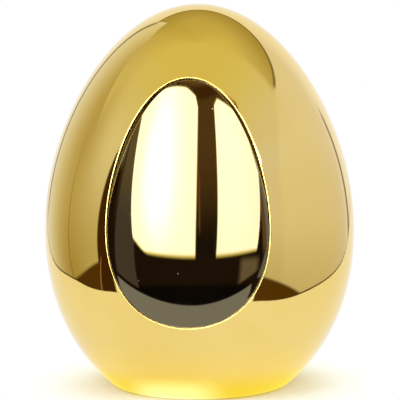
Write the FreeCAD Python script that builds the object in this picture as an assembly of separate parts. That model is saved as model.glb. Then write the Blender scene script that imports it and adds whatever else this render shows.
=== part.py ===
import FreeCAD, Part
import math
import os

# Polished gold egg on its own flat foot, with a smaller dark glossy egg let into its front.
# Millimetres. +Z is up, the front faces -Y, and the origin is at the middle of the resting face.

# Outer egg: a hollow metal shell whose lower end is cut flat to stand on
egg_radius = 60.3
egg_half_height = 80.6
foot_cut = 11.5
egg_taper_share = 0.107
egg_fullness_share = -0.012
shell_wall = 2.0
foot_edge_radius = 5.0
lip_radius = 0.7

# Opening in the front of the shell, an egg outline square to an axis that looks slightly upwards
opening_radius_share = 0.5008
opening_height_share = 0.5856
opening_rise_share = 0.1141
opening_tilt = 9.6
opening_taper_share = 0.2
opening_fullness_share = 0.084

# Dark inner egg: the front of a larger egg, cut to the opening's outline and hollow behind
inner_gap = 0.35
inner_radius_share = 1.845
inner_height_share = 1.674
inner_rise_share = 0.171
inner_bulge_share = 0.364
inner_taper_share = 0.23
inner_edge_radius = 2.0
inner_wall = 2.5
inner_boss_radius = 7.0
inner_boss_depth = 9.0

# Seat behind the opening, and the soft ring that the inner egg is pressed onto
seat_depth = 7.0
seat_ledge_thickness = 2.0
seat_ledge_width = 5.0
seat_flange = 4.0
braze_gap = 0.1
gasket_thickness = 1.0

# Clamp that pulls the inner egg onto its seat
stud_radius = 2.0
stud_hole_depth = 6.0
stud_tail = 2.0
thread_clearance = 0.06
hole_clearance = 0.25
bar_width = 14.0
bar_thickness = 3.0
washer_radius = 4.5
washer_thickness = 0.8
nut_across_flats = 7.0
nut_thickness = 3.2

# Closure of the foot
felt_thickness = 1.5
felt_proud = 0.3
felt_margin = 1.0
plate_thickness = 2.0
plate_gap = 0.5
foot_ring_height = 8.0
foot_ring_land = 4.0
screw_radius = 1.5
screw_length = 8.0
screw_head_radius = 2.8
screw_head_height = 1.65
screw_slot_width = 0.8
screw_slot_depth = 0.7
screw_edge_margin = 4.64
screw_count = 3
screw_hole_spare = 1.0

# How far a cutting solid runs past what it cuts, and how many points an egg outline is drawn through
overrun = 20.0
outline_steps = 24

egg_centre_height = felt_proud + egg_half_height - foot_cut
opening_radius = opening_radius_share * egg_radius
opening_half_height = opening_height_share * egg_half_height
opening_centre_height = egg_centre_height + opening_rise_share * egg_half_height


def egg_width(radius, angle, taper_share, fullness_share):
    """Half width of an egg outline at an angle measured from its pointed end."""
    height_share = math.cos(angle)
    shape = 1 - taper_share * height_share + fullness_share * height_share**2
    return radius * math.sin(angle) * shape


def surface_radius(height, inward):
    """Radius of the outer egg, drawn in by a distance, at a height above the resting face."""
    angle = math.acos((height - egg_centre_height) / (egg_half_height - inward))
    return egg_width(egg_radius - inward, angle, egg_taper_share, egg_fullness_share)


def turned_egg(radius, half_height, taper_share, fullness_share, turn):
    """Egg turned about the Z axis by an angle from +X, its middle at the origin."""
    points = []
    for step in range(outline_steps + 1):
        angle = math.pi * step / outline_steps
        width = egg_width(radius, angle, taper_share, fullness_share)
        points.append(FreeCAD.Vector(width, 0, half_height * math.cos(angle)))
    points[0].x = 0
    points[-1].x = 0
    curve = Part.BSplineCurve()
    outward = FreeCAD.Vector(1, 0, 0)
    curve.interpolate(Points=points, InitialTangent=outward, FinalTangent=-outward)
    axis = Part.LineSegment(points[-1], points[0])
    outline = Part.Wire([curve.toShape(), axis.toShape()])
    return Part.Face(outline).revolve(FreeCAD.Vector(), FreeCAD.Vector(0, 0, 1), turn)


def outer_egg(inward):
    """The outer egg's own form, drawn in by a distance, standing at its real height."""
    egg = turned_egg(
        egg_radius - inward, egg_half_height - inward, egg_taper_share, egg_fullness_share, 360
    )
    egg.translate(FreeCAD.Vector(0, 0, egg_centre_height))
    return egg


def opening_prism(outward, back, front):
    """Prism of the opening's outline, made wider by a distance, between two depths on its axis."""
    points = []
    for step in range(outline_steps):
        angle = 2 * math.pi * step / outline_steps
        width = egg_width(
            opening_radius + outward, angle, opening_taper_share, opening_fullness_share
        )
        height = (opening_half_height + outward) * math.cos(angle)
        points.append(FreeCAD.Vector(width, -back, height))
    curve = Part.BSplineCurve()
    curve.interpolate(Points=points, PeriodicFlag=True)
    face = Part.Face(Part.Wire(curve.toShape()))
    return face.extrude(FreeCAD.Vector(0, back - front, 0))


def domed_plug(inward, back):
    """Prism of the opening's outline from a depth up to the front of the larger egg."""
    radius = inner_radius_share * opening_radius
    half_height = inner_height_share * opening_half_height
    angles = [math.pi * step / outline_steps for step in range(outline_steps)]
    widest = max(egg_width(radius, angle, inner_taper_share, 0) for angle in angles)
    egg = turned_egg(radius - inward, half_height - inward, inner_taper_share, 0, 360)
    rise = inner_rise_share * opening_half_height
    egg.translate(FreeCAD.Vector(0, widest - inner_bulge, rise))
    return opening_prism(-inner_gap - inward, back, 2 * inner_bulge).common(egg)


def round_bar(radius, back, front):
    """Round bar on the opening's axis, between two depths."""
    base = FreeCAD.Vector(0, -back, 0)
    return Part.makeCylinder(radius, front - back, base, FreeCAD.Vector(0, -1, 0))


def on_front(shape):
    """Moves a shape from the opening's own frame to where the opening is on the egg."""
    rim_height = opening_half_height * math.cos(math.radians(opening_tilt))
    rim_top = surface_radius(opening_centre_height + rim_height, 0)
    rim_bottom = surface_radius(opening_centre_height - rim_height, 0)
    middle = FreeCAD.Vector(0, -(rim_top + rim_bottom) / 2, opening_centre_height)
    placed = shape.copy()
    placed.rotate(FreeCAD.Vector(), FreeCAD.Vector(1, 0, 0), -opening_tilt)
    placed.translate(middle)
    return placed


def level_disc(radius, bottom, top):
    """Disc on the egg's own axis, between two heights."""
    return Part.makeCylinder(radius, top - bottom, FreeCAD.Vector(0, 0, bottom))


# Depths along the opening's axis, counted forwards from the plane of its rim
gasket_front = gasket_thickness - seat_depth
seat_back = -seat_depth - seat_ledge_thickness
inner_bulge = inner_bulge_share * opening_radius
boss_back = inner_bulge - inner_wall - inner_boss_depth
bar_back = seat_back - bar_thickness
washer_back = bar_back - washer_thickness
nut_back = washer_back - nut_thickness

# Heights and radii of the foot's closure
plate_top = felt_thickness + plate_thickness
plate_radius = surface_radius(felt_proud, shell_wall) - plate_gap
screw_circle_radius = plate_radius - screw_edge_margin
screw_tip = felt_thickness + screw_length


def make_outer_shell():
    below = level_disc(2 * egg_radius, -overrun, felt_proud)
    solid = outer_egg(0).cut(below)
    foot_edge = min(solid.Edges, key=lambda edge: edge.BoundBox.ZMax)
    solid = solid.makeFillet(foot_edge_radius, [foot_edge])
    solid = solid.cut(on_front(opening_prism(0, -overrun, overrun)))
    rings = [edge for edge in solid.Edges if edge.isClosed() and not edge.Degenerated]
    rim_edge = min(rings, key=lambda edge: edge.CenterOfMass.y)
    solid = solid.makeFillet(lip_radius, [rim_edge])
    return solid.cut(outer_egg(shell_wall))


def make_inner_egg():
    shell = domed_plug(0, gasket_front)
    rim_edge = min(shell.Edges, key=lambda edge: edge.CenterOfMass.y)
    shell = shell.makeFillet(inner_edge_radius, [rim_edge])
    shell = shell.cut(domed_plug(inner_wall, gasket_front - overrun))
    boss = round_bar(inner_boss_radius, boss_back, inner_bulge)
    boss = boss.common(domed_plug(inner_wall / 2, boss_back - overrun))
    egg = shell.fuse(boss)
    hole_front = boss_back + stud_hole_depth
    egg = egg.cut(round_bar(stud_radius + thread_clearance, boss_back - overrun, hole_front))
    return on_front(egg)


def make_seat_frame():
    block = on_front(opening_prism(seat_flange, seat_back, overrun))
    block = block.common(outer_egg(shell_wall + braze_gap))
    block = block.cut(on_front(opening_prism(0, -seat_depth, overrun)))
    return block.cut(on_front(opening_prism(-seat_ledge_width, seat_back - overrun, overrun)))


def make_seat_gasket():
    ring = opening_prism(-inner_gap, -seat_depth, gasket_front)
    ring = ring.cut(opening_prism(-seat_ledge_width, -seat_depth - overrun, overrun))
    return on_front(ring)


def make_clamp_stud():
    stud_front = boss_back + stud_hole_depth - thread_clearance
    return on_front(round_bar(stud_radius, nut_back - stud_tail, stud_front))


def make_clamp_bar():
    length = 2 * opening_radius + seat_flange
    corner = FreeCAD.Vector(-length / 2, -seat_back, -bar_width / 2)
    bar = Part.makeBox(length, bar_thickness, bar_width, corner)
    corner_edges = [edge for edge in bar.Edges if edge.BoundBox.YLength > bar_thickness / 2]
    bar = bar.makeFillet(bar_width / 4, corner_edges)
    bar = bar.cut(round_bar(stud_radius + hole_clearance, bar_back - overrun, seat_back + overrun))
    return on_front(bar)


def make_clamp_washer():
    washer = round_bar(washer_radius, washer_back, bar_back)
    hole = round_bar(stud_radius + hole_clearance, washer_back - overrun, bar_back + overrun)
    return on_front(washer.cut(hole))


def make_clamp_nut():
    corner_radius = nut_across_flats / math.sqrt(3)
    corners = []
    for index in range(7):
        angle = math.pi * index / 3
        x = corner_radius * math.cos(angle)
        corners.append(FreeCAD.Vector(x, -nut_back, corner_radius * math.sin(angle)))
    nut = Part.Face(Part.makePolygon(corners)).extrude(FreeCAD.Vector(0, -nut_thickness, 0))
    hole = round_bar(stud_radius + thread_clearance, nut_back - overrun, washer_back + overrun)
    return on_front(nut.cut(hole))


def screw_centres():
    """Places of the foot screws, evenly round the egg's axis."""
    centres = []
    for index in range(screw_count):
        angle = 2 * math.pi * index / screw_count + math.pi / 2
        x = screw_circle_radius * math.cos(angle)
        centres.append(FreeCAD.Vector(x, screw_circle_radius * math.sin(angle), 0))
    return centres


def countersunk_form(wider, slot_depth, top):
    """A countersunk screw, or with a wider form the hole for one, pointing upwards."""
    head = Part.makeCone(
        screw_head_radius + wider,
        screw_radius + wider,
        screw_head_height,
        FreeCAD.Vector(0, 0, felt_thickness),
    )
    form = head.fuse(level_disc(screw_radius + wider, felt_thickness, top)).removeSplitter()
    if slot_depth > 0:
        corner = FreeCAD.Vector(-screw_head_radius, -screw_slot_width / 2, felt_thickness)
        slot = Part.makeBox(2 * screw_head_radius, screw_slot_width, slot_depth, corner)
        form = form.cut(slot)
    return form


def at_each_screw(shape):
    """Copies of a shape at every foot screw."""
    copies = []
    for centre in screw_centres():
        copy = shape.copy()
        copy.translate(centre)
        copies.append(copy)
    return Part.Compound(copies)


def make_foot_ring():
    ring = level_disc(2 * egg_radius, plate_top, plate_top + foot_ring_height)
    ring = ring.common(outer_egg(shell_wall + braze_gap))
    ring = ring.cut(level_disc(screw_circle_radius - foot_ring_land, -overrun, egg_half_height))
    hole = level_disc(screw_radius + thread_clearance, 0, screw_tip + screw_hole_spare)
    return ring.cut(at_each_screw(hole))


def make_base_plate():
    plate = level_disc(plate_radius, felt_thickness, plate_top)
    return plate.cut(at_each_screw(countersunk_form(hole_clearance, 0, plate_top + overrun)))


def make_base_screws():
    return at_each_screw(countersunk_form(0, screw_slot_depth, screw_tip))


def make_felt_pad():
    return level_disc(plate_radius - felt_margin, 0, felt_thickness)


makers = {
    "outer_shell": make_outer_shell,
    "seat_frame": make_seat_frame,
    "seat_gasket": make_seat_gasket,
    "inner_egg": make_inner_egg,
    "clamp_stud": make_clamp_stud,
    "clamp_bar": make_clamp_bar,
    "clamp_washer": make_clamp_washer,
    "clamp_nut": make_clamp_nut,
    "foot_ring": make_foot_ring,
    "base_plate": make_base_plate,
    "base_screws": make_base_screws,
    "felt_pad": make_felt_pad,
}

os.makedirs("parts", exist_ok=True)
for node, maker in makers.items():
    shape = maker()
    shape.exportStep("parts/" + node + ".step")
    box = shape.BoundBox
    print(node, "valid", shape.isValid(), "solids", len(shape.Solids), "volume", round(shape.Volume))
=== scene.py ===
import bmesh
import bpy
import math
import numpy as np
from mathutils import Matrix, Vector


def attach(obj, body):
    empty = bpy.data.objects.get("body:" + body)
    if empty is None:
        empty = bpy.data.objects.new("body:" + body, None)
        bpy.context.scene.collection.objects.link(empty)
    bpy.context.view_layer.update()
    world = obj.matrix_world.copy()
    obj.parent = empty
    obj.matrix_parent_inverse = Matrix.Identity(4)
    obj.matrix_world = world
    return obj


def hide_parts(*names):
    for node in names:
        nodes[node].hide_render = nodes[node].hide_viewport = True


# A mirror gold egg with a black glazed egg let into its front, on a plain white sheet.
# Lengths are millimetres in the part's own frame, unless a note says otherwise.

mm = 0.001
mergeDistance = 0.000001    # metres
searchSteps = 40            # halvings when a surface is searched for
probe = 0.02                # the small step over which a slope is measured
slopeSteps = 4              # rounds in which a rounded edge settles
startRadius = 0.01          # metres, of the circle from which a skin grows
sharpAngle = 40             # degrees between two faces, above which their edge stays sharp

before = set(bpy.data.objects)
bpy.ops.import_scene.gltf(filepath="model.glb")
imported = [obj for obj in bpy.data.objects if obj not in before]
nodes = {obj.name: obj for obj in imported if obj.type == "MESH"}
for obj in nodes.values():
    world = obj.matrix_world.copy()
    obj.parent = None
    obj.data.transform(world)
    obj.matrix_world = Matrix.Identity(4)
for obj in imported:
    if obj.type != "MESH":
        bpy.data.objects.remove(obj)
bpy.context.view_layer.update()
print("frame: the packed parts are in place")


# Shader maths: a socket that can be added, multiplied and compared like a number

class Field:
    def __init__(self, graph, socket):
        self.graph = graph
        self.socket = socket

    def math(self, operation, *others):
        values = [self] + list(others)
        settings = {"operation": operation}
        return self.graph.node("ShaderNodeMath", settings, dict(enumerate(values)))

    def __add__(self, other):
        return self.math("ADD", other)

    def __sub__(self, other):
        return self.math("SUBTRACT", other)

    def __mul__(self, other):
        return self.math("MULTIPLY", other)

    def __truediv__(self, other):
        return self.math("DIVIDE", other)

    def __rsub__(self, other):
        return self.graph.node("ShaderNodeMath", {"operation": "SUBTRACT"}, {0: other, 1: self})

    def rise(self, low, high):              # 0 below low, 1 above high, smooth between
        settings = {"interpolation_type": "SMOOTHSTEP"}
        sockets = {"Value": self, "From Min": low, "From Max": high}
        return self.graph.node("ShaderNodeMapRange", settings, sockets)

    def fall(self, low, high):              # 1 below low, 0 above high
        return 1 - self.rise(low, high)

    def within(self, low, high, soft):      # 1 from low to high, 0 outside
        return self.rise(low - soft, low + soft) * self.fall(high - soft, high + soft)


class Graph:
    def __init__(self, tree):
        self.tree = tree
        tree.nodes.clear()

    def node(self, kind, settings=None, sockets=None, output=0):
        made = self.tree.nodes.new(kind)
        for key, value in (settings or {}).items():
            setattr(made, key, value)
        for key, value in (sockets or {}).items():
            if isinstance(value, Field):
                self.tree.links.new(value.socket, made.inputs[key])
            else:
                made.inputs[key].default_value = value
        return Field(self, made.outputs[output]) if len(made.outputs) else made

    def blend(self, amount, first, second):
        settings = {"data_type": "RGBA"}
        return self.node("ShaderNodeMix", settings, {0: amount, 6: first, 7: second}, 2)

    def place(self, kind="Object"):
        return self.node("ShaderNodeTexCoord", {}, {}, kind)

    def axis(self, vector, name):
        return self.node("ShaderNodeSeparateXYZ", {}, {0: vector}, name)

    def ray(self, kind):
        return self.node("ShaderNodeLightPath", {}, {}, kind)

    def surface(self, shader):
        self.node("ShaderNodeOutputMaterial", {}, {"Surface": shader})


def colour(red, green, blue):
    return (red, green, blue, 1.0)


# Camera, at the photograph's angle

camera = {
    "turn": 4.9,                # degrees to the right of straight ahead
    "distance": 1200.0,         # level distance from the egg's axis
    "height": 241.86,
    "aimHeight": 75.0,
    "lens": 278.3,
    "sensor": 36.0,
    "lean": 0.57,               # degrees, the picture leans a little to the left
    "shiftX": 0.002,
    "shiftY": -0.0123,
    "nearest": 0.05,            # metres
    "farthest": 50.0,
}


def makeCamera(spec):
    turn = math.radians(spec["turn"])
    level = spec["distance"] * mm
    eye = Vector((level * math.sin(turn), -level * math.cos(turn), spec["height"] * mm))
    ahead = (Vector((0, 0, spec["aimHeight"] * mm)) - eye).normalized()
    across = ahead.cross(Vector((0, 0, 1))).normalized()
    upwards = across.cross(ahead)
    lean = math.radians(spec["lean"])
    sideAxis = across * math.cos(lean) - upwards * math.sin(lean)
    topAxis = across * math.sin(lean) + upwards * math.cos(lean)
    bpy.ops.object.camera_add()
    made = bpy.context.active_object
    made.name = "studioCamera"
    turned = Matrix((sideAxis, topAxis, -ahead)).transposed().to_4x4()
    made.matrix_world = Matrix.Translation(eye) @ turned
    made.data.lens = spec["lens"]
    made.data.sensor_width = spec["sensor"]
    made.data.shift_x = spec["shiftX"]
    made.data.shift_y = spec["shiftY"]
    made.data.clip_start = spec["nearest"]
    made.data.clip_end = spec["farthest"]
    bpy.context.scene.camera = made


makeCamera(camera)
print("camera: set at the photograph's angle")


# The outer egg and its opening, the same outlines as the part's

egg = {
    "radius": 60.3,
    "halfHeight": 80.6,
    "centreHeight": 69.4,
    "taper": 0.107,
    "fullness": -0.012,
    "wall": 2.0,
    "footHeight": 0.3,
    "footRounding": 5.0,
    "footSearch": 12.0,         # the rounding starts below this height over the foot
    "lipRounding": 0.2,
    "around": 264,              # points round the opening
    "outerRings": 150,
    "spread": 1.7,              # above 1, the rings are closer together beside the opening
    "innerRings": 40,
    "lipRings": 7,
    "footRings": 7,
    "back": (0.0, 0.985, -0.174),       # the way from the centre to where the rings close
    "searchRange": (20.0, 100.0),       # distances from the centre
}

opening = {
    "radius": 30.198,
    "halfHeight": 47.199,
    "centreHeight": 78.596,
    "rimDepth": 48.0,           # distance of the rim's plane in front of the egg's axis
    "tilt": 9.6,                # degrees
    "taper": 0.2,
    "fullness": 0.084,
    "searchRange": (-25.0, 40.0),       # distances in front of the rim's plane
}


def eggWidth(radius, share, taper, fullness):
    round = np.sqrt(np.clip(1 - share**2, 0, None))
    return radius * round * (1 - taper * share + fullness * share**2)


def eggRadius(height, inward):
    share = (height - egg["centreHeight"]) / (egg["halfHeight"] - inward)
    return eggWidth(egg["radius"] - inward, share, egg["taper"], egg["fullness"])


def outline(outward):
    angle = 2 * math.pi * np.arange(egg["around"]) / egg["around"]
    share = np.cos(angle)
    width = (opening["radius"] + outward) * np.sin(angle)
    width = width * (1 - opening["taper"] * share + opening["fullness"] * share**2)
    return width, (opening["halfHeight"] + outward) * share


def outwardAcross(x, z):                # the outline's own outward direction at each point
    alongX = np.roll(x, -1) - np.roll(x, 1)
    alongZ = np.roll(z, -1) - np.roll(z, 1)
    length = np.hypot(alongX, alongZ)
    acrossX, acrossZ = -alongZ / length, alongX / length
    side = np.sign(np.mean(acrossX * x + acrossZ * z))
    return acrossX * side, acrossZ * side


def toWorld(x, depth, z):               # depth counts forwards from the plane of the rim
    tilt = math.radians(opening["tilt"])
    worldY = -depth * math.cos(tilt) + z * math.sin(tilt) - opening["rimDepth"]
    worldZ = depth * math.sin(tilt) + z * math.cos(tilt) + opening["centreHeight"]
    return np.stack([x, worldY, worldZ], -1)


def leaveEgg(count, searchRange, pointsAt, inward):
    # the distances at which lines leave the egg, where pointsAt gives a point on each line
    low = np.full(count, searchRange[0])
    high = np.full(count, searchRange[1])
    for step in range(searchSteps):
        middle = (low + high) / 2
        point = pointsAt(middle)
        inside = np.hypot(point[:, 0], point[:, 1]) < eggRadius(point[:, 2], inward)
        low = np.where(inside, middle, low)
        high = np.where(inside, high, middle)
    return low


def shellDepth(x, z, inward):           # how far before the rim's plane the egg's surface is
    return leaveEgg(len(x), opening["searchRange"], lambda depth: toWorld(x, depth, z), inward)


def shellRings(start, inward, count, spread):   # rings from a curve on the egg round to its back
    centre = np.array([0.0, 0.0, egg["centreHeight"]])
    back = np.array(egg["back"])
    first = start - centre
    first = first / np.linalg.norm(first, axis=1, keepdims=True)
    full = np.arccos(np.clip(first @ back, -1, 1))[:, None]
    rings = []
    for index in range(1, count + 1):
        part = (index / count) ** spread
        heading = (np.sin((1 - part) * full) * first + np.sin(part * full) * back) / np.sin(full)
        heading = heading / np.linalg.norm(heading, axis=1, keepdims=True)

        def along(distance):
            return centre + heading * distance[:, None]

        rings.append(along(leaveEgg(len(start), egg["searchRange"], along, inward)))
    return rings


def roundedEdge(x, z, acrossX, acrossZ, surface, radius, count):
    # an arc between a wall at the outline and a surface on one side of it, from the wall on
    reach = np.full(x.shape, radius)
    for step in range(slopeSteps):
        near = surface(x + acrossX * (reach - probe), z + acrossZ * (reach - probe))
        far = surface(x + acrossX * (reach + probe), z + acrossZ * (reach + probe))
        slope = (far - near) / (2 * probe)
        length = np.sqrt(1 + slope**2)
        anchor = (near + far) / 2 - slope * reach
        reach = radius * (1 - slope / length)
    depth = anchor + slope * radius - radius * length
    last = np.arctan2(1 / length, -slope / length)
    arc = []
    for index in range(count + 1):
        angle = math.pi + (last - math.pi) * index / count
        away = radius + radius * np.cos(angle)
        arc.append((x + acrossX * away, depth + radius * np.sin(angle), z + acrossZ * away))
    return arc


# Growing a skin ring by ring: a circle is added, placed, and extruded for each further ring

def growSkin(name, rings):
    bpy.ops.object.select_all(action="DESELECT")
    bpy.ops.mesh.primitive_circle_add(vertices=len(rings[0]), radius=startRadius)
    piece = bpy.context.active_object
    piece.name = name
    piece.data.name = name
    bpy.ops.object.mode_set(mode="EDIT")
    bpy.ops.mesh.select_mode(type="VERT")
    bpy.ops.mesh.select_all(action="SELECT")
    shape = bmesh.from_edit_mesh(piece.data)
    order = shape.verts.layers.int.new("order")
    for index, vert in enumerate(shape.verts):
        vert[order] = index
    for index, ring in enumerate(rings):
        if index > 0:
            bpy.ops.mesh.extrude_edges_move()
        shape = bmesh.from_edit_mesh(piece.data)
        order = shape.verts.layers.int["order"]
        for vert in shape.verts:
            if vert.select:
                vert.co = Vector(ring[vert[order]]) * mm
        bmesh.update_edit_mesh(piece.data)
    bpy.ops.mesh.select_all(action="SELECT")
    bpy.ops.mesh.remove_doubles(threshold=mergeDistance)
    bpy.ops.mesh.normals_make_consistent(inside=False)
    bpy.ops.object.mode_set(mode="OBJECT")
    return piece


def settle(piece, material):
    bpy.ops.object.select_all(action="DESELECT")
    piece.select_set(True)
    bpy.context.view_layer.objects.active = piece
    bpy.ops.object.transform_apply(location=True, rotation=True, scale=True)
    bpy.ops.object.shade_smooth_by_angle(angle=math.radians(sharpAngle))
    piece.data.materials.clear()
    piece.data.materials.append(material)


def selectRing(piece, keep):            # selects the open edges that pass a test
    shape = bmesh.from_edit_mesh(piece.data)
    bpy.ops.mesh.select_all(action="DESELECT")
    bpy.ops.mesh.select_mode(type="EDGE")
    for edge in shape.edges:
        middle = (edge.verts[0].co + edge.verts[1].co) / 2 / mm
        if len(edge.link_faces) == 1 and keep(middle):
            edge.select = True
    shape.select_flush_mode()
    bmesh.update_edit_mesh(piece.data)


def lowerRing(piece, radius, height):   # extrudes what is selected to a level ring below
    bpy.ops.mesh.extrude_edges_move()
    shape = bmesh.from_edit_mesh(piece.data)
    for vert in shape.verts:
        if vert.select:
            grown = radius / math.hypot(vert.co.x / mm, vert.co.y / mm)
            vert.co = Vector((vert.co.x * grown, vert.co.y * grown, height * mm))
    bmesh.update_edit_mesh(piece.data)


def footArc():                          # the rounding between the egg's side and its flat foot
    low, high = egg["footHeight"], egg["footHeight"] + egg["footSearch"]
    half = probe / 2
    for step in range(searchSteps):
        middle = (low + high) / 2
        slope = (eggRadius(middle + half, 0) - eggRadius(middle - half, 0)) / probe
        length = math.sqrt(1 + slope**2)
        centreZ = middle + egg["footRounding"] * slope / length
        if centreZ < egg["footHeight"] + egg["footRounding"]:
            low = middle
        else:
            high = middle
    centreR = eggRadius(low, 0) - egg["footRounding"] / length
    first = math.atan2(-slope, 1)
    arc = []
    for index in range(egg["footRings"] + 1):
        angle = first + (-math.pi / 2 - first) * index / egg["footRings"]
        radius = centreR + egg["footRounding"] * math.cos(angle)
        arc.append((radius, centreZ + egg["footRounding"] * math.sin(angle)))
    return arc


def makeGoldShell(material):
    x, z = outline(0)
    acrossX, acrossZ = outwardAcross(x, z)
    lip = roundedEdge(
        x, z, acrossX, acrossZ, lambda u, v: shellDepth(u, v, 0), egg["lipRounding"], egg["lipRings"]
    )
    wallBack = shellDepth(x, z, egg["wall"])
    innerEdge = toWorld(x, wallBack, z)
    rings = shellRings(innerEdge, egg["wall"], egg["innerRings"], 1.0)[::-1]
    rings.append(innerEdge)
    rings.append(toWorld(x, (wallBack + lip[0][1]) / 2, z))
    rings.extend(toWorld(*step) for step in lip)
    rings.extend(shellRings(rings[-1], 0, egg["outerRings"], egg["spread"]))
    piece = growSkin("goldShell", rings)
    arc = footArc()
    cutRadius, cutHeight = arc[0]
    bpy.ops.object.mode_set(mode="EDIT")
    bpy.ops.mesh.select_all(action="SELECT")
    bpy.ops.mesh.bisect(plane_co=(0, 0, cutHeight * mm), plane_no=(0, 0, 1), clear_inner=True)
    between = (cutRadius + eggRadius(cutHeight, egg["wall"])) / 2
    halfway = (cutHeight + egg["footHeight"]) / 2
    selectRing(piece, lambda point: math.hypot(point.x, point.y) > between)
    for radius, height in arc[1:]:
        lowerRing(piece, radius, height)
    selectRing(piece, lambda point: math.hypot(point.x, point.y) < between and point.z > halfway)
    lowerRing(piece, eggRadius(egg["footHeight"], egg["wall"]), egg["footHeight"])
    selectRing(piece, lambda point: True)
    bpy.ops.mesh.bridge_edge_loops()
    bpy.ops.mesh.select_all(action="SELECT")
    bpy.ops.mesh.normals_make_consistent(inside=False)
    bpy.ops.object.mode_set(mode="OBJECT")
    settle(piece, material)
    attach(piece, "root")
    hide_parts("outer_shell")


# The black egg: the front of a larger egg, cut to the opening and hollow behind

blackEgg = {
    "gap": 0.35,
    "radius": 55.715,
    "halfHeight": 79.01,
    "rise": 8.071,              # height of the larger egg's centre over the opening's
    "bulge": 10.992,            # how far it stands out before the rim's plane
    "taper": 0.23,
    "lean": 2.0,                # how far the top of the front leans forwards
    "widestShares": (-0.5, 0.5),        # of its half height, where its widest place is looked for
    "widestSteps": 401,
    "wall": 2.5,
    "edgeRounding": 0.5,
    "skirtBack": -6.0,
    "bossRadius": 7.0,
    "bossBack": -0.508,
    "holeRadius": 2.06,
    "holeFront": 5.492,
    "frontRings": 64,
    "spread": 1.7,              # above 1, the rings are closer together at the edge
    "edgeRings": 8,
    "hollowRings": 16,
}


def blackDepth(x, z, inward):
    spec = blackEgg
    shares = np.linspace(*spec["widestShares"], spec["widestSteps"])
    widest = eggWidth(spec["radius"], shares, spec["taper"], 0).max()
    share = (z - spec["rise"]) / (spec["halfHeight"] - inward)
    radius = eggWidth(spec["radius"] - inward, share, spec["taper"], 0)
    lean = spec["lean"] * np.clip(z / opening["halfHeight"], 0, None)**2
    return np.sqrt(np.clip(radius**2 - x**2, 0, None)) - widest + spec["bulge"] + lean


def makeBlackEgg(material):
    spec = blackEgg
    x, z = outline(-spec["gap"])
    acrossX, acrossZ = outwardAcross(x, z)
    rounding, count = spec["edgeRounding"], spec["edgeRings"]
    edge = roundedEdge(
        x, z, -acrossX, -acrossZ, lambda u, v: blackDepth(u, v, 0), rounding, count
    )
    startX, startZ = edge[-1][0], edge[-1][2]
    rings = []
    for index in range(spec["frontRings"]):
        part = 1 - (1 - index / spec["frontRings"]) ** spec["spread"]
        u, v = startX * part, startZ * part
        rings.append(toWorld(u, blackDepth(u, v, 0), v))
    rings.extend(toWorld(*step) for step in edge[::-1])
    flat = np.zeros(x.shape)
    rings.append(toWorld(x, (edge[0][1] + spec["skirtBack"]) / 2, z))
    rings.append(toWorld(x, flat + spec["skirtBack"], z))
    hollowX, hollowZ = outline(-spec["gap"] - spec["wall"])
    rings.append(toWorld(hollowX, flat + spec["skirtBack"], hollowZ))
    angle = np.arctan2(x, z)
    bossX, bossZ = np.sin(angle), np.cos(angle)
    for index in range(spec["hollowRings"] + 1):
        part = index / spec["hollowRings"]
        u = hollowX * (1 - part) + bossX * spec["bossRadius"] * part
        v = hollowZ * (1 - part) + bossZ * spec["bossRadius"] * part
        rings.append(toWorld(u, blackDepth(u, v, spec["wall"]), v))
    for radius, depth in (
        (spec["bossRadius"], spec["bossBack"]),
        (spec["holeRadius"], spec["bossBack"]),
        (spec["holeRadius"], spec["holeFront"]),
        (0.0, spec["holeFront"]),
    ):
        rings.append(toWorld(bossX * radius, flat + depth, bossZ * radius))
    piece = growSkin("blackEgg", rings)
    settle(piece, material)
    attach(piece, "root")
    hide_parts("inner_egg")


# Finishes. Clouds and grains are noise, given as scale, detail and stretch. A bump is given as
# its strength and its depth in metres.

even = (1, 1, 1)


def newMaterial(name):
    made = bpy.data.materials.new(name)
    made.use_nodes = True
    return made, Graph(made.node_tree)


def speckle(graph, place, scale, detail, stretch):
    mapped = graph.node("ShaderNodeMapping", {}, {"Vector": place, "Scale": stretch})
    sockets = {"Vector": mapped, "Scale": scale, "Detail": detail}
    return graph.node("ShaderNodeTexNoise", {}, sockets)


def bumped(graph, height, strength, depth):
    sockets = {"Height": height, "Strength": strength, "Distance": depth}
    return graph.node("ShaderNodeBump", {}, sockets)


def finish(graph, sockets, grain, bump):
    sockets["Normal"] = bumped(graph, grain, *bump)
    graph.surface(graph.node("ShaderNodeBsdfPrincipled", {}, sockets))


goldFinish = {
    "deep": colour(0.84, 0.615, 0.172),
    "pale": colour(0.87, 0.655, 0.21),
    "roughness": 0.03,
    "haze": 0.03,
    "cloud": (22.0, 3.0, even),
    "lines": (60.0, 6.0, (1, 1, 22)),
    "grain": (2600.0, 2.0, even),
    "toneRange": (0.3, 0.7),
    "cloudHaze": (0.45, 0.75),
    "lineHaze": (0.55, 0.8),
    "lineShare": 0.4,
    "bump": (0.03, 0.00002),
}


def makeGold():
    spec = goldFinish
    made, graph = newMaterial("mirrorGold")
    place = graph.place()
    cloud = speckle(graph, place, *spec["cloud"])
    lines = speckle(graph, place, *spec["lines"])
    haze = cloud.rise(*spec["cloudHaze"]) * (1 - spec["lineShare"])
    haze = haze + lines.rise(*spec["lineHaze"]) * spec["lineShare"]
    sockets = {
        "Base Color": graph.blend(cloud.rise(*spec["toneRange"]), spec["deep"], spec["pale"]),
        "Metallic": 1.0,
        "Roughness": haze * spec["haze"] + spec["roughness"],
    }
    finish(graph, sockets, speckle(graph, place, *spec["grain"]), spec["bump"])
    return made


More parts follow.
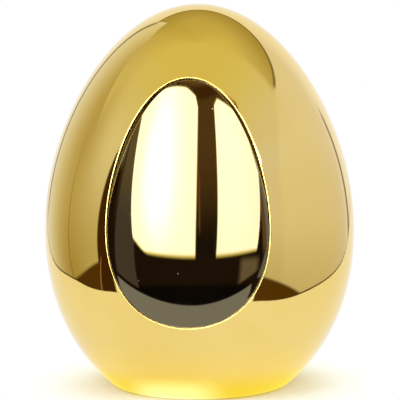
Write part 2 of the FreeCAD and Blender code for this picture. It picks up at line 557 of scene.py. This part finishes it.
glazeFinish = {
    "body": colour(0.0012, 0.0009, 0.0006),
    "bloom": colour(0.0032, 0.0024, 0.0016),
    "dust": colour(0.42, 0.38, 0.30),
    "tint": colour(1.0, 0.85, 0.51),
    "ior": 2.4,
    "roughness": 0.03,
    "haze": 0.025,
    "cloud": (35.0, 4.0, even),
    "grain": (1400.0, 2.0, even),
    "toneRange": (0.35, 0.7),
    "hazeRange": (0.4, 0.8),
    "dustScale": 330.0,
    "dustChance": (0.955, 0.965),       # few cells hold a speck
    "dustSize": (0.045, 0.09),
    "dustTone": 0.7,
    "dustRoughness": 0.5,
    "bump": (0.02, 0.00002),
}


def makeGlaze():
    spec = glazeFinish
    made, graph = newMaterial("blackGlaze")
    place = graph.place()
    cloud = speckle(graph, place, *spec["cloud"])
    cells = {"Vector": place, "Scale": spec["dustScale"]}
    near = graph.node("ShaderNodeTexVoronoi", {}, cells, "Distance")
    chance = graph.node("ShaderNodeTexVoronoi", {}, cells, "Color")
    chance = graph.node("ShaderNodeSeparateColor", {}, {"Color": chance}, "Red")
    dust = chance.rise(*spec["dustChance"]) * near.fall(*spec["dustSize"])
    body = graph.blend(cloud.rise(*spec["toneRange"]), spec["body"], spec["bloom"])
    haze = cloud.rise(*spec["hazeRange"]) * spec["haze"] + dust * spec["dustRoughness"]
    sockets = {
        "Base Color": graph.blend(dust * spec["dustTone"], body, spec["dust"]),
        "Roughness": haze + spec["roughness"],
        "IOR": spec["ior"],
        "Specular Tint": spec["tint"],
    }
    finish(graph, sockets, speckle(graph, place, *spec["grain"]), spec["bump"])
    return made


brassFinish = {
    "bright": colour(0.78, 0.58, 0.26),
    "dull": colour(0.46, 0.31, 0.12),
    "roughness": 0.24,
    "haze": 0.2,
    "cloud": (60.0, 5.0, even),
    "turned": (90.0, 4.0, (1, 1, 30)),
    "toneRange": (0.35, 0.75),
    "bump": (0.25, 0.00008),
}


def makeBrass():
    spec = brassFinish
    made, graph = newMaterial("turnedBrass")
    place = graph.place()
    cloud = speckle(graph, place, *spec["cloud"])
    turned = speckle(graph, place, *spec["turned"])
    sockets = {
        "Base Color": graph.blend(cloud.rise(*spec["toneRange"]), spec["bright"], spec["dull"]),
        "Metallic": 1.0,
        "Roughness": turned * spec["haze"] + spec["roughness"],
    }
    finish(graph, sockets, turned, spec["bump"])
    return made


steelFinish = {
    "bright": colour(0.72, 0.73, 0.74),
    "dull": colour(0.44, 0.44, 0.46),
    "roughness": 0.22,
    "haze": 0.25,
    "cloud": (180.0, 5.0, even),
    "grain": (900.0, 3.0, even),
    "toneRange": (0.4, 0.75),
    "bump": (0.15, 0.00005),
}


def makeSteel():
    spec = steelFinish
    made, graph = newMaterial("platedSteel")
    place = graph.place()
    cloud = speckle(graph, place, *spec["cloud"])
    sockets = {
        "Base Color": graph.blend(cloud.rise(*spec["toneRange"]), spec["bright"], spec["dull"]),
        "Metallic": 1.0,
        "Roughness": cloud * spec["haze"] + spec["roughness"],
    }
    finish(graph, sockets, speckle(graph, place, *spec["grain"]), spec["bump"])
    return made


rubberFinish = {
    "body": colour(0.018, 0.018, 0.019),
    "bloom": colour(0.06, 0.06, 0.062),
    "roughness": 0.62,
    "haze": 0.2,
    "cloud": (120.0, 5.0, even),
    "grain": (2200.0, 3.0, even),
    "toneRange": (0.45, 0.8),
    "bump": (0.3, 0.0001),
}


def makeRubber():
    spec = rubberFinish
    made, graph = newMaterial("softRubber")
    place = graph.place()
    cloud = speckle(graph, place, *spec["cloud"])
    grain = speckle(graph, place, *spec["grain"])
    sockets = {
        "Base Color": graph.blend(cloud.rise(*spec["toneRange"]), spec["body"], spec["bloom"]),
        "Roughness": grain * spec["haze"] + spec["roughness"],
    }
    finish(graph, sockets, grain, spec["bump"])
    return made


feltFinish = {
    "body": colour(0.03, 0.028, 0.027),
    "fibre": colour(0.14, 0.13, 0.12),
    "roughness": 0.94,
    "sheen": 0.35,
    "tangle": (420.0, 8.0, (1, 2.2, 1)),
    "crossed": (380.0, 8.0, (2.4, 1, 1)),
    "toneRange": (0.42, 0.66),
    "bump": (0.7, 0.0006),
}


def makeFelt():
    spec = feltFinish
    made, graph = newMaterial("darkFelt")
    place = graph.place()
    tangle = speckle(graph, place, *spec["tangle"])
    fibres = tangle * 0.5 + speckle(graph, place, *spec["crossed"]) * 0.5
    sockets = {
        "Base Color": graph.blend(fibres.rise(*spec["toneRange"]), spec["body"], spec["fibre"]),
        "Roughness": spec["roughness"],
        "Sheen Weight": spec["sheen"],
    }
    finish(graph, sockets, fibres, spec["bump"])
    return made


gold = makeGold()
glaze = makeGlaze()
brass = makeBrass()
steel = makeSteel()
rubber = makeRubber()
felt = makeFelt()
print("finishes: made")

makeGoldShell(gold)
print("gold shell: made")
makeBlackEgg(glaze)
print("black egg: made")

keptFinishes = {
    "seat_frame": brass,
    "seat_gasket": rubber,
    "clamp_stud": steel,
    "clamp_bar": steel,
    "clamp_washer": steel,
    "clamp_nut": steel,
    "foot_ring": brass,
    "base_plate": steel,
    "base_screws": steel,
    "felt_pad": felt,
}
for name, material in keptFinishes.items():
    for slot in nodes[name].material_slots:
        slot.material = material
print("kept parts: finished")


# Stage: a white sheet under the egg, a room behind and two soft boxes in front

sheet = {
    # the corners of its outline from the middle of the front edge to the middle of the back edge,
    # as millimetres to the side of the egg's axis and behind it
    "leftCorners": (
        (0, -108), (105, -107), (140, -60), (195, 10), (215, 140), (240, 250), (340, 620),
        (260, 900), (0, 900),
    ),
    "rightCorners": (
        (0, -108), (70, -107), (100, -75), (155, -10), (185, 75), (205, 170), (250, 290),
        (340, 620), (260, 900), (0, 900),
    ),
    "cornerSteps": 24,
    "depth": -0.1,
    "rimShare": 0.03,                   # the dark line along its edge, at the sides and behind
    "rimTurn": (60, 75),                # degrees over which that line starts
    "rimDepth": -0.3,
    "rimTone": colour(0.05, 0.03, 0.01),
    "wideSize": 16000.0,                # the floor that the camera sees beyond the sheet
    "wideDepth": -0.6,
    "tone": colour(0.93, 0.93, 0.93),
    "paper": (900.0, 4.0, even),
    "bump": (0.05, 0.0001),
    "lamplit": (35.0, 62.0),            # seen lit by the lamps inside, and plain white outside
    "paintedGoldLightRange": (34.0, 72.0),         # from the egg's axis, where painted light from the gold lies on the sheet
    "paintedGoldLightGlow": 0.12,                  # how much brighter that painted light makes the sheet glow there
    "plainTone": colour(1.0, 1.0, 1.0),
    "paintedGoldLightTone": colour(1.0, 0.94, 0.60),       # the gold throws its own colour on it
    "nearRange": (35.0, 49.0),          # closer still the painted gold light is deeper in colour
    "paintedDeepGoldLightTone": colour(1.0, 0.93, 0.17),
    "spot": (-9.0, -37.0, 0.0),         # a painted highlight: a bright patch before the foot, left of the middle
    "paintedHighlightRange": (4.0, 26.0),           # from the spot's own middle
    "paintedHighlightReach": (36.0, 46.0),          # from the egg's axis
    "paintedHighlightTone": colour(1.35, 1.5, 1.4),
}


def inMetres(values):
    return tuple(value * mm for value in values)


def hideFrom(piece, *rays):
    for kind in rays:
        setattr(piece, "visible_" + kind, False)


def makeSheetMaterial(spec):
    made, graph = newMaterial("whiteSheet")
    place = graph.place()
    away = graph.node("ShaderNodeVectorMath", {"operation": "LENGTH"}, {0: place}, "Value")
    far = away.rise(*inMetres(spec["lamplit"]))
    shown = (far * graph.ray("Is Camera Ray") + graph.ray("Is Glossy Ray")).math("MINIMUM", 1.0)
    # Painted light: near the foot the sheet glows brighter and golder, standing for the light that
    # the gold throws on it
    paintedGoldLight = away.fall(*inMetres(spec["paintedGoldLightRange"]))
    tone = graph.blend(paintedGoldLight, spec["plainTone"], spec["paintedGoldLightTone"])
    tone = graph.blend(away.fall(*inMetres(spec["nearRange"])), tone, spec["paintedDeepGoldLightTone"])
    # A painted highlight on the sheet before the foot, for the egg's bottom to mirror
    sockets = {0: place, 1: inMetres(spec["spot"])}
    apart = graph.node("ShaderNodeVectorMath", {"operation": "DISTANCE"}, sockets, "Value")
    patch = apart.fall(*inMetres(spec["paintedHighlightRange"])) * away.fall(*inMetres(spec["paintedHighlightReach"]))
    tone = graph.blend(patch, tone, spec["paintedHighlightTone"])
    bump = bumped(graph, speckle(graph, place, *spec["paper"]), *spec["bump"])
    matt = graph.node("ShaderNodeBsdfDiffuse", {}, {"Color": spec["tone"], "Normal": bump})
    strength = paintedGoldLight * spec["paintedGoldLightGlow"] + 1
    glow = graph.node("ShaderNodeEmission", {}, {"Color": tone, "Strength": strength})
    graph.surface(graph.node("ShaderNodeMixShader", {}, {0: shown, 1: matt, 2: glow}))
    return made


def roundCorners(corners, steps):       # a curve round each corner between its sides' middles
    places = [np.array(corner, float) for corner in corners]
    points = [places[0]]
    for before, corner, after in zip(places, places[1:], places[2:]):
        first, last = (before + corner) / 2, (corner + after) / 2
        for part in np.linspace(0, 1, steps + 1):
            points.append(first * (1 - part)**2 + corner * 2 * part * (1 - part) + last * part**2)
    points.append(places[-1])
    return points


def cutSheet(name, spec, depth, rim, material):     # rim widens it, as a share of its reach
    right = roundCorners(spec["rightCorners"], spec["cornerSteps"])
    left = roundCorners(spec["leftCorners"], spec["cornerSteps"])
    edge = right + [(-x, y) for x, y in left[-2:0:-1]]
    bpy.ops.object.select_all(action="DESELECT")
    bpy.ops.mesh.primitive_circle_add(vertices=len(edge), radius=1.0, fill_type="NGON")
    made = bpy.context.active_object
    made.name = name
    for vert, (x, y) in zip(made.data.vertices, edge):
        turn = math.degrees(math.atan2(abs(x), -y))
        wider = 1 + rim * float(np.interp(turn, spec["rimTurn"], (0, 1)))
        vert.co = Vector((x * wider, y * wider, depth)) * mm
    made.data.materials.append(material)
    return made


def makeSheet(spec, material):
    cutSheet("whiteSheet", spec, spec["depth"], 0.0, material)
    line, graph = newMaterial("sheetLine")
    graph.surface(graph.node("ShaderNodeBsdfDiffuse", {}, {"Color": spec["rimTone"]}))
    rim = cutSheet("sheetRim", spec, spec["rimDepth"], spec["rimShare"], line)
    hideFrom(rim, "camera", "diffuse", "transmission")
    bpy.ops.object.select_all(action="DESELECT")
    bpy.ops.mesh.primitive_plane_add(
        size=spec["wideSize"] * mm, location=(0, 0, spec["wideDepth"] * mm)
    )
    wide = bpy.context.active_object
    wide.name = "wideFloor"
    wide.data.materials.append(material)
    hideFrom(wide, "glossy", "diffuse", "transmission")


makeSheet(sheet, makeSheetMaterial(sheet))
print("sheet: laid")

softBoxes = {
    "eye": (0.0, -58.0, 75.0),          # the black egg's front, from which the boxes are aimed
    "facing": 4.0,                      # degrees to the right
    "lean": 19.0,                       # degrees forwards from upright
    "distance": 1000.0,                 # fades and the boxes' lengths are shares of it
    "fade": 0.095,                      # how far the light fades in at the lower edge
    "crisp": 0.014,                     # and at the other edges
    "squash": 0.6,                      # the bright core is taller than it is wide
    "bounce": 0.2,                      # the share kept for light that has met a matt surface
    "inside": colour(1.0, 1.0, 0.97),
    "fringe": colour(1.0, 0.85, 0.18),
}

leftBox = {
    "sides": (-1.27, 0.03),
    "ends": (-0.180, 1.37),
    # kept where a side + b up is below c, each with how soft it is
    "cuts": (
        (0.26, 1.0, 1.045, 0.014),
        (0.50, 1.0, 1.000, 0.014),
        (2.00, 1.0, 0.965, 0.030),
        (1.00, -0.04, -0.016, 0.020),
        (-0.57, -1.0, 0.710, 0.080),
    ),
    "light": 7.4,
    "core": 7.0,
    "coreSpot": (-0.60, 0.62),
    "coreReach": 0.52,
}

rightBox = {
    "sides": (0.268, 1.14),
    "ends": (-0.180, 1.030),
    "cuts": ((1.0, 1.0, 1.83, 0.014), (-1.0, 1.0, 0.70, 0.030)),
    "light": 6.7,
    "core": 1.2,
    "coreSpot": (0.45, 0.75),
    "coreReach": 0.70,
}


def makeBoxMaterial(name, spec, box, middle):
    made, graph = newMaterial(name)
    place = graph.place()
    reach = spec["distance"] * mm
    side = graph.axis(place, "X") / reach + middle[0]
    rise = graph.axis(place, "Y") / reach + middle[1]
    mask = (rise - box["ends"][0]).rise(0.0, spec["fade"])
    for edge in (side - box["sides"][0], box["sides"][1] - side, box["ends"][1] - rise):
        mask = mask * edge.rise(0.0, spec["crisp"])
    for a, b, limit, soft in box["cuts"]:
        mask = mask * (limit - side * a - rise * b).rise(0.0, soft)
    offX = side - box["coreSpot"][0]
    offY = (rise - box["coreSpot"][1]) * spec["squash"]
    spot = (offX * offX + offY * offY).math("SQRT").fall(0.0, box["coreReach"])
    met = graph.ray("Diffuse Depth").math("MINIMUM", 1.0)
    strength = (spot * box["core"] + box["light"]) * (1 - met * (1 - spec["bounce"]))
    tone = graph.blend(mask * mask, spec["fringe"], spec["inside"])
    glow = graph.node("ShaderNodeEmission", {}, {"Color": tone, "Strength": strength})
    clear = graph.node("ShaderNodeBsdfTransparent")
    graph.surface(graph.node("ShaderNodeMixShader", {}, {0: mask, 1: clear, 2: glow}))
    return made


def makeSoftBox(name, spec, box):
    facing = math.radians(spec["facing"])
    lean = math.radians(spec["lean"])
    reach = spec["distance"] * mm
    ahead = Vector((math.sin(facing), -math.cos(facing), 0))
    across = Vector((math.cos(facing), math.sin(facing), 0))
    upwards = -ahead * math.sin(lean) + Vector((0, 0, 1)) * math.cos(lean)
    middle = [sum(box["sides"]) / 2, sum(box["ends"]) / 2]
    place = Vector(spec["eye"]) * mm + (ahead + across * middle[0] + upwards * middle[1]) * reach
    width = box["sides"][1] - box["sides"][0]
    height = box["ends"][1] - box["ends"][0]
    bpy.ops.object.select_all(action="DESELECT")
    bpy.ops.mesh.primitive_plane_add(size=1.0)
    made = bpy.context.active_object
    made.name = name
    made.data.transform(Matrix.Diagonal((width * reach, height * reach, 1, 1)))
    turned = Matrix((across, upwards, across.cross(upwards))).transposed().to_4x4()
    made.matrix_world = Matrix.Translation(place) @ turned
    hideFrom(made, "camera", "diffuse", "shadow")
    made.data.materials.append(makeBoxMaterial(name, spec, box, middle))


makeSoftBox("softBoxLeft", softBoxes, leftBox)
makeSoftBox("softBoxRight", softBoxes, rightBox)
print("soft boxes: hung")

lamps = {                               # places and sizes in metres
    "aim": (0, 0, 0.06),
    "keyPower": 14.0,
    "keySize": 1.1,
    "keyPlace": (-0.75, -0.95, 0.95),
    "fillPower": 9.0,
    "fillSize": 1.0,
    "fillPlace": (0.85, -0.75, 0.85),
}


def makeLamp(name, place, size, power):
    bpy.ops.object.select_all(action="DESELECT")
    aim = (Vector(lamps["aim"]) - Vector(place)).to_track_quat("-Z", "Y").to_euler()
    bpy.ops.object.light_add(type="AREA", location=place, rotation=aim)
    made = bpy.context.active_object
    made.name = name
    made.data.shape = "DISK"
    made.data.size = size
    made.data.energy = power
    hideFrom(made, "glossy", "camera")


makeLamp("keyLamp", lamps["keyPlace"], lamps["keySize"], lamps["keyPower"])
makeLamp("fillLamp", lamps["fillPlace"], lamps["fillSize"], lamps["fillPower"])
print("lamps: hung")


# The room that the gold and the glaze mirror. Turns are degrees to the right of straight ahead,
# except where a note says that they count to the left, and heights are degrees above the level.
# A pair is where a change starts and ends, and a third number is how soft both ends are.

ceiling = {
    "low": colour(0.79, 0.77, 0.57),
    "high": colour(0.79, 0.75, 0.40),
    "far": colour(0.50, 0.40, 0.10),
    "edge": colour(0.45, 0.37, 0.11),
    "highRange": (40.0, 68.0),
    "farTurn": (80.0, 180.0),
    "farShare": 0.5,
    "leftPatch": (104.0, 156.0, 20.0),  # counts to the left
    "leftShare": 0.2,
    "overhead": (70.0, 88.0),           # the far tone fades again straight above
    "overheadShare": 0.5,
    "edgeNear": (98.0, 108.0),          # shaded towards its far edge, on the right in two steps
    "edgeNearShare": 0.6,
    "edgeFar": (104.0, 140.0),
    "edgeFarShare": 0.4,
    "edgeLeft": (122.0, 150.0),         # counts to the left
    "edgeHeight": (34.0, 72.0),
}


def paintCeiling(graph, turn, height):
    spec = ceiling
    leftTurn = turn * -1.0
    tone = graph.blend(height.rise(*spec["highRange"]), spec["low"], spec["high"])
    farther = turn.math("ABSOLUTE").rise(*spec["farTurn"]) * spec["farShare"]
    farther = farther + leftTurn.within(*spec["leftPatch"]) * spec["leftShare"]
    farther = farther * (1 - height.rise(*spec["overhead"]) * spec["overheadShare"])
    tone = graph.blend(farther, tone, spec["far"])
    edge = turn.rise(*spec["edgeNear"]) * spec["edgeNearShare"]
    edge = edge + turn.rise(*spec["edgeFar"]) * spec["edgeFarShare"]
    edge = edge + leftTurn.rise(*spec["edgeLeft"])
    return graph.blend(edge * height.fall(*spec["edgeHeight"]), tone, spec["edge"])


leftWall = {                            # its turns count to the left
    "nearLow": colour(0.58, 0.54, 0.40),
    "nearHigh": colour(0.80, 0.80, 0.82),
    "foot": colour(0.44, 0.37, 0.17),
    "middle": colour(0.56, 0.49, 0.30),
    "far": colour(0.84, 0.86, 0.88),
    "nearRange": (-10.0, 24.0),
    "footRange": (-20.0, 4.0),
    "middleTurn": (76.0, 108.0),
    "farTurn": (106.0, 148.0),
    "gentleTop": (18.0, 52.0),          # near by, it melts into the ceiling
    "sharpTurn": (98.0, 108.0),         # from here on it ends at a climbing line
    "lineStart": 78.0,
    "lineHighest": 49.0,
    "lineSoft": 1.0,
    "cornerTurn": (148.0, 152.0),
    "cornerDrop": 11.0,
}


def paintLeftWall(graph, turn, height, above):
    spec = leftWall
    leftTurn = turn * -1.0
    near = graph.blend(height.rise(*spec["nearRange"]), spec["nearLow"], spec["nearHigh"])
    middle = graph.blend(height.rise(*spec["footRange"]), spec["foot"], spec["middle"])
    tone = graph.blend(leftTurn.rise(*spec["middleTurn"]), near, middle)
    tone = graph.blend(leftTurn.rise(*spec["farTurn"]), tone, spec["far"])
    line = (leftTurn - spec["lineStart"]).math("MINIMUM", spec["lineHighest"])
    line = line - leftTurn.rise(*spec["cornerTurn"]) * spec["cornerDrop"]
    gentle = height.rise(*spec["gentleTop"])
    sharp = (height - line).rise(-spec["lineSoft"], spec["lineSoft"])
    return graph.blend(gentle + (sharp - gentle) * leftTurn.rise(*spec["sharpTurn"]), tone, above)


rightWall = {
    "low": colour(0.60, 0.56, 0.44),
    "high": colour(0.79, 0.80, 0.97),
    "far": colour(0.88, 0.88, 1.04),
    "edge": colour(0.94, 0.95, 1.15),
    "highRange": (-28.0, 6.0),
    "farTurn": 69.0,                    # this border bends away above a height
    "farBend": 0.036,
    "farBendHeight": 9.0,
    "farSoft": (-4.0, 5.0),
    "farRange": (-30.0, 30.0),
    "farShare": 0.7,
    "farLeast": 0.15,
    "edgeTurn": (140.0, 150.0),
    "gentleTop": (20.0, 56.0),
    "sharpTop": (37.0, 38.2),
    "sharpTurn": (99.0, 106.0),
}


def paintRightWall(graph, turn, height, above):
    spec = rightWall
    tone = graph.blend(height.rise(*spec["highRange"]), spec["low"], spec["high"])
    lifted = (height - spec["farBendHeight"]).math("MAXIMUM", 0.0)
    beyond = (turn - spec["farTurn"] - lifted * lifted * spec["farBend"]).rise(*spec["farSoft"])
    share = height.rise(*spec["farRange"]) * spec["farShare"] + spec["farLeast"]
    tone = graph.blend(beyond * share, tone, spec["far"])
    tone = graph.blend(turn.rise(*spec["edgeTurn"]), tone, spec["edge"])
    gentle = height.rise(*spec["gentleTop"])
    sharp = height.rise(*spec["sharpTop"])
    return graph.blend(gentle + (sharp - gentle) * turn.rise(*spec["sharpTurn"]), tone, above)


seams = {
    "tone": colour(0.10, 0.065, 0.018),
    "strength": 0.75,
    "top": (37.0, 38.6, 0.5),           # under the ceiling
    "topRight": (105.0, 109.0),
    "topLeft": (148.0, 151.0),          # this, the left corner and the left joint count to the left
    "leftCorner": (148.6, 151.4, 0.7),
    "leftHeight": (-6.0, 37.0, 2.0),
    "rightCorner": (147.3, 149.3),
    "rightSoft": 0.6,
    "rightHeight": (-15.0, 9.0, 2.0),
    "widening": 2.0,                    # how much wider the right corner's line is below
    "wideningHeight": (-6.0, 30.0),
    "leftJoint": (107.6, 108.6, 0.5),
    "jointHeight": (-8.0, 30.0),
    "jointStrength": 0.7,
}


def paintSeams(graph, turn, height, walls):
    spec = seams
    leftTurn = turn * -1.0
    ends = turn.rise(*spec["topRight"]) + leftTurn.rise(*spec["topLeft"])
    lines = height.within(*spec["top"]) * ends
    lines = lines + leftTurn.within(*spec["leftCorner"]) * height.within(*spec["leftHeight"])
    wide = height.fall(*spec["wideningHeight"]) * spec["widening"]
    low, high = spec["rightCorner"]
    corner = (turn - wide * 0.5).within(low, wide + high, spec["rightSoft"])
    lines = lines + corner * height.within(*spec["rightHeight"])
    joint = leftTurn.within(*spec["leftJoint"]) * height.fall(*spec["jointHeight"])
    lines = lines + joint * spec["jointStrength"]
    return graph.blend(lines.math("MINIMUM", 1.0) * spec["strength"], walls, spec["tone"])


darkStrip = {                           # between the walls and the sheet
    "tone": colour(0.09, 0.046, 0.006),
    "soft": 0.8,
    "rightHeight": -20.0,               # its upper edge, at this turn
    "rightTurn": 55.0,
    "rightSlope": 0.15,
    "leftHeight": -11.5,                # its upper edge falls in two steps, counted to the left
    "leftFall": (60.0, 108.0),
    "leftDrop": 6.4,
    "cornerFall": (112.0, 122.0),
    "cornerDrop": 6.0,
    "gapTone": colour(0.055, 0.022, 0.004),     # the gap before the left wall, counted to the left
    "gapStart": (50.0, 54.0),
    "gapEnd": 76.2,
    "gapBend": 0.0062,
    "gapBendHeight": -9.0,
    "gapSoft": 0.7,
    "gapTop": (22.0, 28.0),
    "sliverTone": colour(0.62, 0.34, 0.20),     # a pale sliver in that gap, counted likewise
    "sliver": (68.2, 69.3, 0.4),
    "sliverSlope": 0.4,
    "sliverTop": (-14.0, -10.0),
    "sliverShare": 0.5,
}


def paintDarkStrip(graph, turn, height, walls):
    spec = darkStrip
    leftTurn = turn * -1.0
    rightTop = spec["rightHeight"] - (turn - spec["rightTurn"]) * spec["rightSlope"]
    leftTop = spec["leftHeight"] - leftTurn.rise(*spec["leftFall"]) * spec["leftDrop"]
    leftTop = leftTop - leftTurn.rise(*spec["cornerFall"]) * spec["cornerDrop"]
    side = turn.rise(-1.0, 1.0)
    top = rightTop * side + leftTop * (1 - side)
    walls = graph.blend((height - top).fall(-spec["soft"], spec["soft"]), walls, spec["tone"])
    lifted = (height - spec["gapBendHeight"]).math("MAXIMUM", 0.0)
    end = spec["gapEnd"] - lifted * lifted * spec["gapBend"]
    gap = leftTurn.rise(*spec["gapStart"]) * (leftTurn - end).fall(-spec["gapSoft"], spec["gapSoft"])
    walls = graph.blend(gap * height.fall(*spec["gapTop"]), walls, spec["gapTone"])
    sliver = (leftTurn + height * spec["sliverSlope"]).within(*spec["sliver"])
    sliver = sliver * height.fall(*spec["sliverTop"]) * spec["sliverShare"]
    return graph.blend(sliver, walls, spec["sliverTone"])


glazeFront = {                          # what the black egg alone mirrors, between the boxes
    "slotLow": colour(0.044, 0.027, 0.013),
    "slotHigh": colour(0.42, 0.22, 0.055),
    "slotRange": (0.0, 42.0),
    "slotTop": colour(0.23, 0.09, 0.005),
    "slotTopBand": (51.8, 55.6, 1.2),
    "slotRim": colour(1.0, 0.62, 0.15),
    "slotRimRange": (55.4, 59.0),
    "glint": colour(1.1, 0.45, 0.18),
    "glintTurn": (5.0, 6.2, 0.5),
    "glintHeight": (8.0, 30.0, 4.0),
    "glintShare": 0.6,
    "floor": colour(0.06, 0.031, 0.013),
    "floorRange": (-9.0, -3.0),
    "black": colour(0.008, 0.005, 0.002),
    "blackRange": (-27.0, -21.0),
    "sheet": colour(1.0, 1.0, 1.0),
    "sheetHeight": -39.5,               # its far edge climbs with the square of the turn
    "sheetClimb": 0.0052,
    "sheetClimbRight": 0.0014,
    "sheetSoft": 0.6,
    "sheetTurn": (-64.0, 49.0, 0.8),
    "greyLeft": colour(0.30, 0.24, 0.21),
    "greyLeftHigh": colour(0.60, 0.46, 0.23),
    "greyLeftRange": (8.0, 32.0),
    "greyLeftTurn": (-63.5, -46.5, 0.8),
    "greyLeftFoot": (2.2, 3.4),         # above the sheet's edge
    "greyLeftTop": (50.0, 54.0),
    "greyRight": colour(0.69, 0.53, 0.32),
    "greyRightTurn": (38.0, 52.0, 2.6),
    "greyRightTop": (-11.0, -6.0),
    "greyRightFoot": -44.8,             # at no turn, and how it climbs
    "greyRightSlope": 0.55,
    "greyRightSoft": (-0.7, 1.7),
    "margin": colour(0.60, 0.32, 0.10),
    "marginTurn": (55.0, 56.5),
    "marginHeight": (-10.0, 0.0),
}


def paintGlazeFront(graph, turn, height):
    spec = glazeFront
    tone = graph.blend(height.rise(*spec["slotRange"]), spec["slotLow"], spec["slotHigh"])
    tone = graph.blend(height.within(*spec["slotTopBand"]), tone, spec["slotTop"])
    tone = graph.blend(height.rise(*spec["slotRimRange"]), tone, spec["slotRim"])
    glint = turn.within(*spec["glintTurn"]) * height.within(*spec["glintHeight"])
    tone = graph.blend(glint * spec["glintShare"], tone, spec["glint"])
    tone = graph.blend(height.fall(*spec["floorRange"]), tone, spec["floor"])
    tone = graph.blend(height.fall(*spec["blackRange"]), tone, spec["black"])
    square = turn * turn
    climb = turn.rise(-1.0, 1.0) * spec["sheetClimbRight"] + spec["sheetClimb"]
    sheetTop = square * climb + spec["sheetHeight"]
    grey = graph.blend(height.rise(*spec["greyLeftRange"]), spec["greyLeft"], spec["greyLeftHigh"])
    patch = turn.within(*spec["greyLeftTurn"]) * (height - sheetTop).rise(*spec["greyLeftFoot"])
    tone = graph.blend(patch * height.fall(*spec["greyLeftTop"]), tone, grey)
    foot = turn * spec["greyRightSlope"] + spec["greyRightFoot"]
    patch = turn.within(*spec["greyRightTurn"]) * height.fall(*spec["greyRightTop"])
    patch = patch * (height - foot).rise(*spec["greyRightSoft"])
    tone = graph.blend(patch, tone, spec["greyRight"])
    seen = (height - sheetTop).fall(-spec["sheetSoft"], spec["sheetSoft"])
    tone = graph.blend(turn.within(*spec["sheetTurn"]) * seen, tone, spec["sheet"])
    margin = turn.rise(*spec["marginTurn"]) * height.rise(*spec["marginHeight"])
    return graph.blend(margin, tone, spec["margin"])


frontArea = {                           # where the walls give way to what the black egg mirrors
    "roof": 66.0,
    "roofBend": 0.0062,
    "roofSoft": 1.0,
    "leftEnd": -66.0,
    "leftNarrowing": 3.5,
    "leftHeight": (24.0, 42.0),
    "leftSoft": 0.7,
    "rightEnd": 59.0,
    "rightNarrowing": 7.0,
    "rightHeight": (16.0, 44.0),
    "rightSoft": 0.6,
    "lowHeight": -3.0,                  # below it, the right end narrows with the height
    "lowNarrowing": 0.37,
}


def markFrontArea(turn, height):
    spec = frontArea
    start = height.rise(*spec["leftHeight"]) * spec["leftNarrowing"] + spec["leftEnd"]
    below = (spec["lowHeight"] - height).math("MAXIMUM", 0.0)
    narrowing = height.rise(*spec["rightHeight"]) * spec["rightNarrowing"]
    end = spec["rightEnd"] - narrowing - below * spec["lowNarrowing"]
    roof = spec["roof"] - turn * turn * spec["roofBend"]
    area = (turn - start).rise(-spec["leftSoft"], spec["leftSoft"])
    area = area * (turn - end).fall(-spec["rightSoft"], spec["rightSoft"])
    return area * (height - roof).fall(-spec["roofSoft"], spec["roofSoft"])


room = {
    "plain": colour(0.55, 0.55, 0.55),  # what lights the matt surfaces
    "white": colour(1.0, 1.0, 1.0),
    "middle": (-4.0, 4.0),              # between the left and the right half
    "backTurn": (151.0, 156.0),         # the white part far behind
    "backFoot": (-43.0, -37.0),
    "backTop": (36.4, 37.4),
}


def makeRoom(spec):
    world = bpy.data.worlds.new("whiteRoom")
    bpy.context.scene.world = world
    world.use_nodes = True
    graph = Graph(world.node_tree)
    place = graph.place("Generated")
    degrees = 180 / math.pi
    turn = graph.axis(place, "X").math("ARCTAN2", graph.axis(place, "Y") * -1.0) * degrees
    height = graph.axis(place, "Z").math("ARCSINE") * degrees
    above = paintCeiling(graph, turn, height)
    left = paintLeftWall(graph, turn, height, above)
    right = paintRightWall(graph, turn, height, above)
    walls = graph.blend(turn.rise(*spec["middle"]), left, right)
    back = turn.math("ABSOLUTE").rise(*spec["backTurn"])
    back = back * height.rise(*spec["backFoot"]) * height.fall(*spec["backTop"])
    walls = graph.blend(back, walls, spec["white"])
    walls = paintSeams(graph, turn, height, walls)
    walls = paintDarkStrip(graph, turn, height, walls)
    front = paintGlazeFront(graph, turn, height)
    mirrored = graph.blend(markFrontArea(turn, height), walls, front)
    seen = graph.blend(graph.ray("Is Glossy Ray"), spec["plain"], mirrored)
    seen = graph.blend(graph.ray("Is Camera Ray"), seen, spec["white"])
    light = graph.node("ShaderNodeBackground", {}, {"Color": seen, "Strength": 1.0})
    graph.node("ShaderNodeOutputWorld", {}, {"Surface": light})


makeRoom(room)
print("room: painted")

bpy.context.scene.view_settings.view_transform = "Standard"
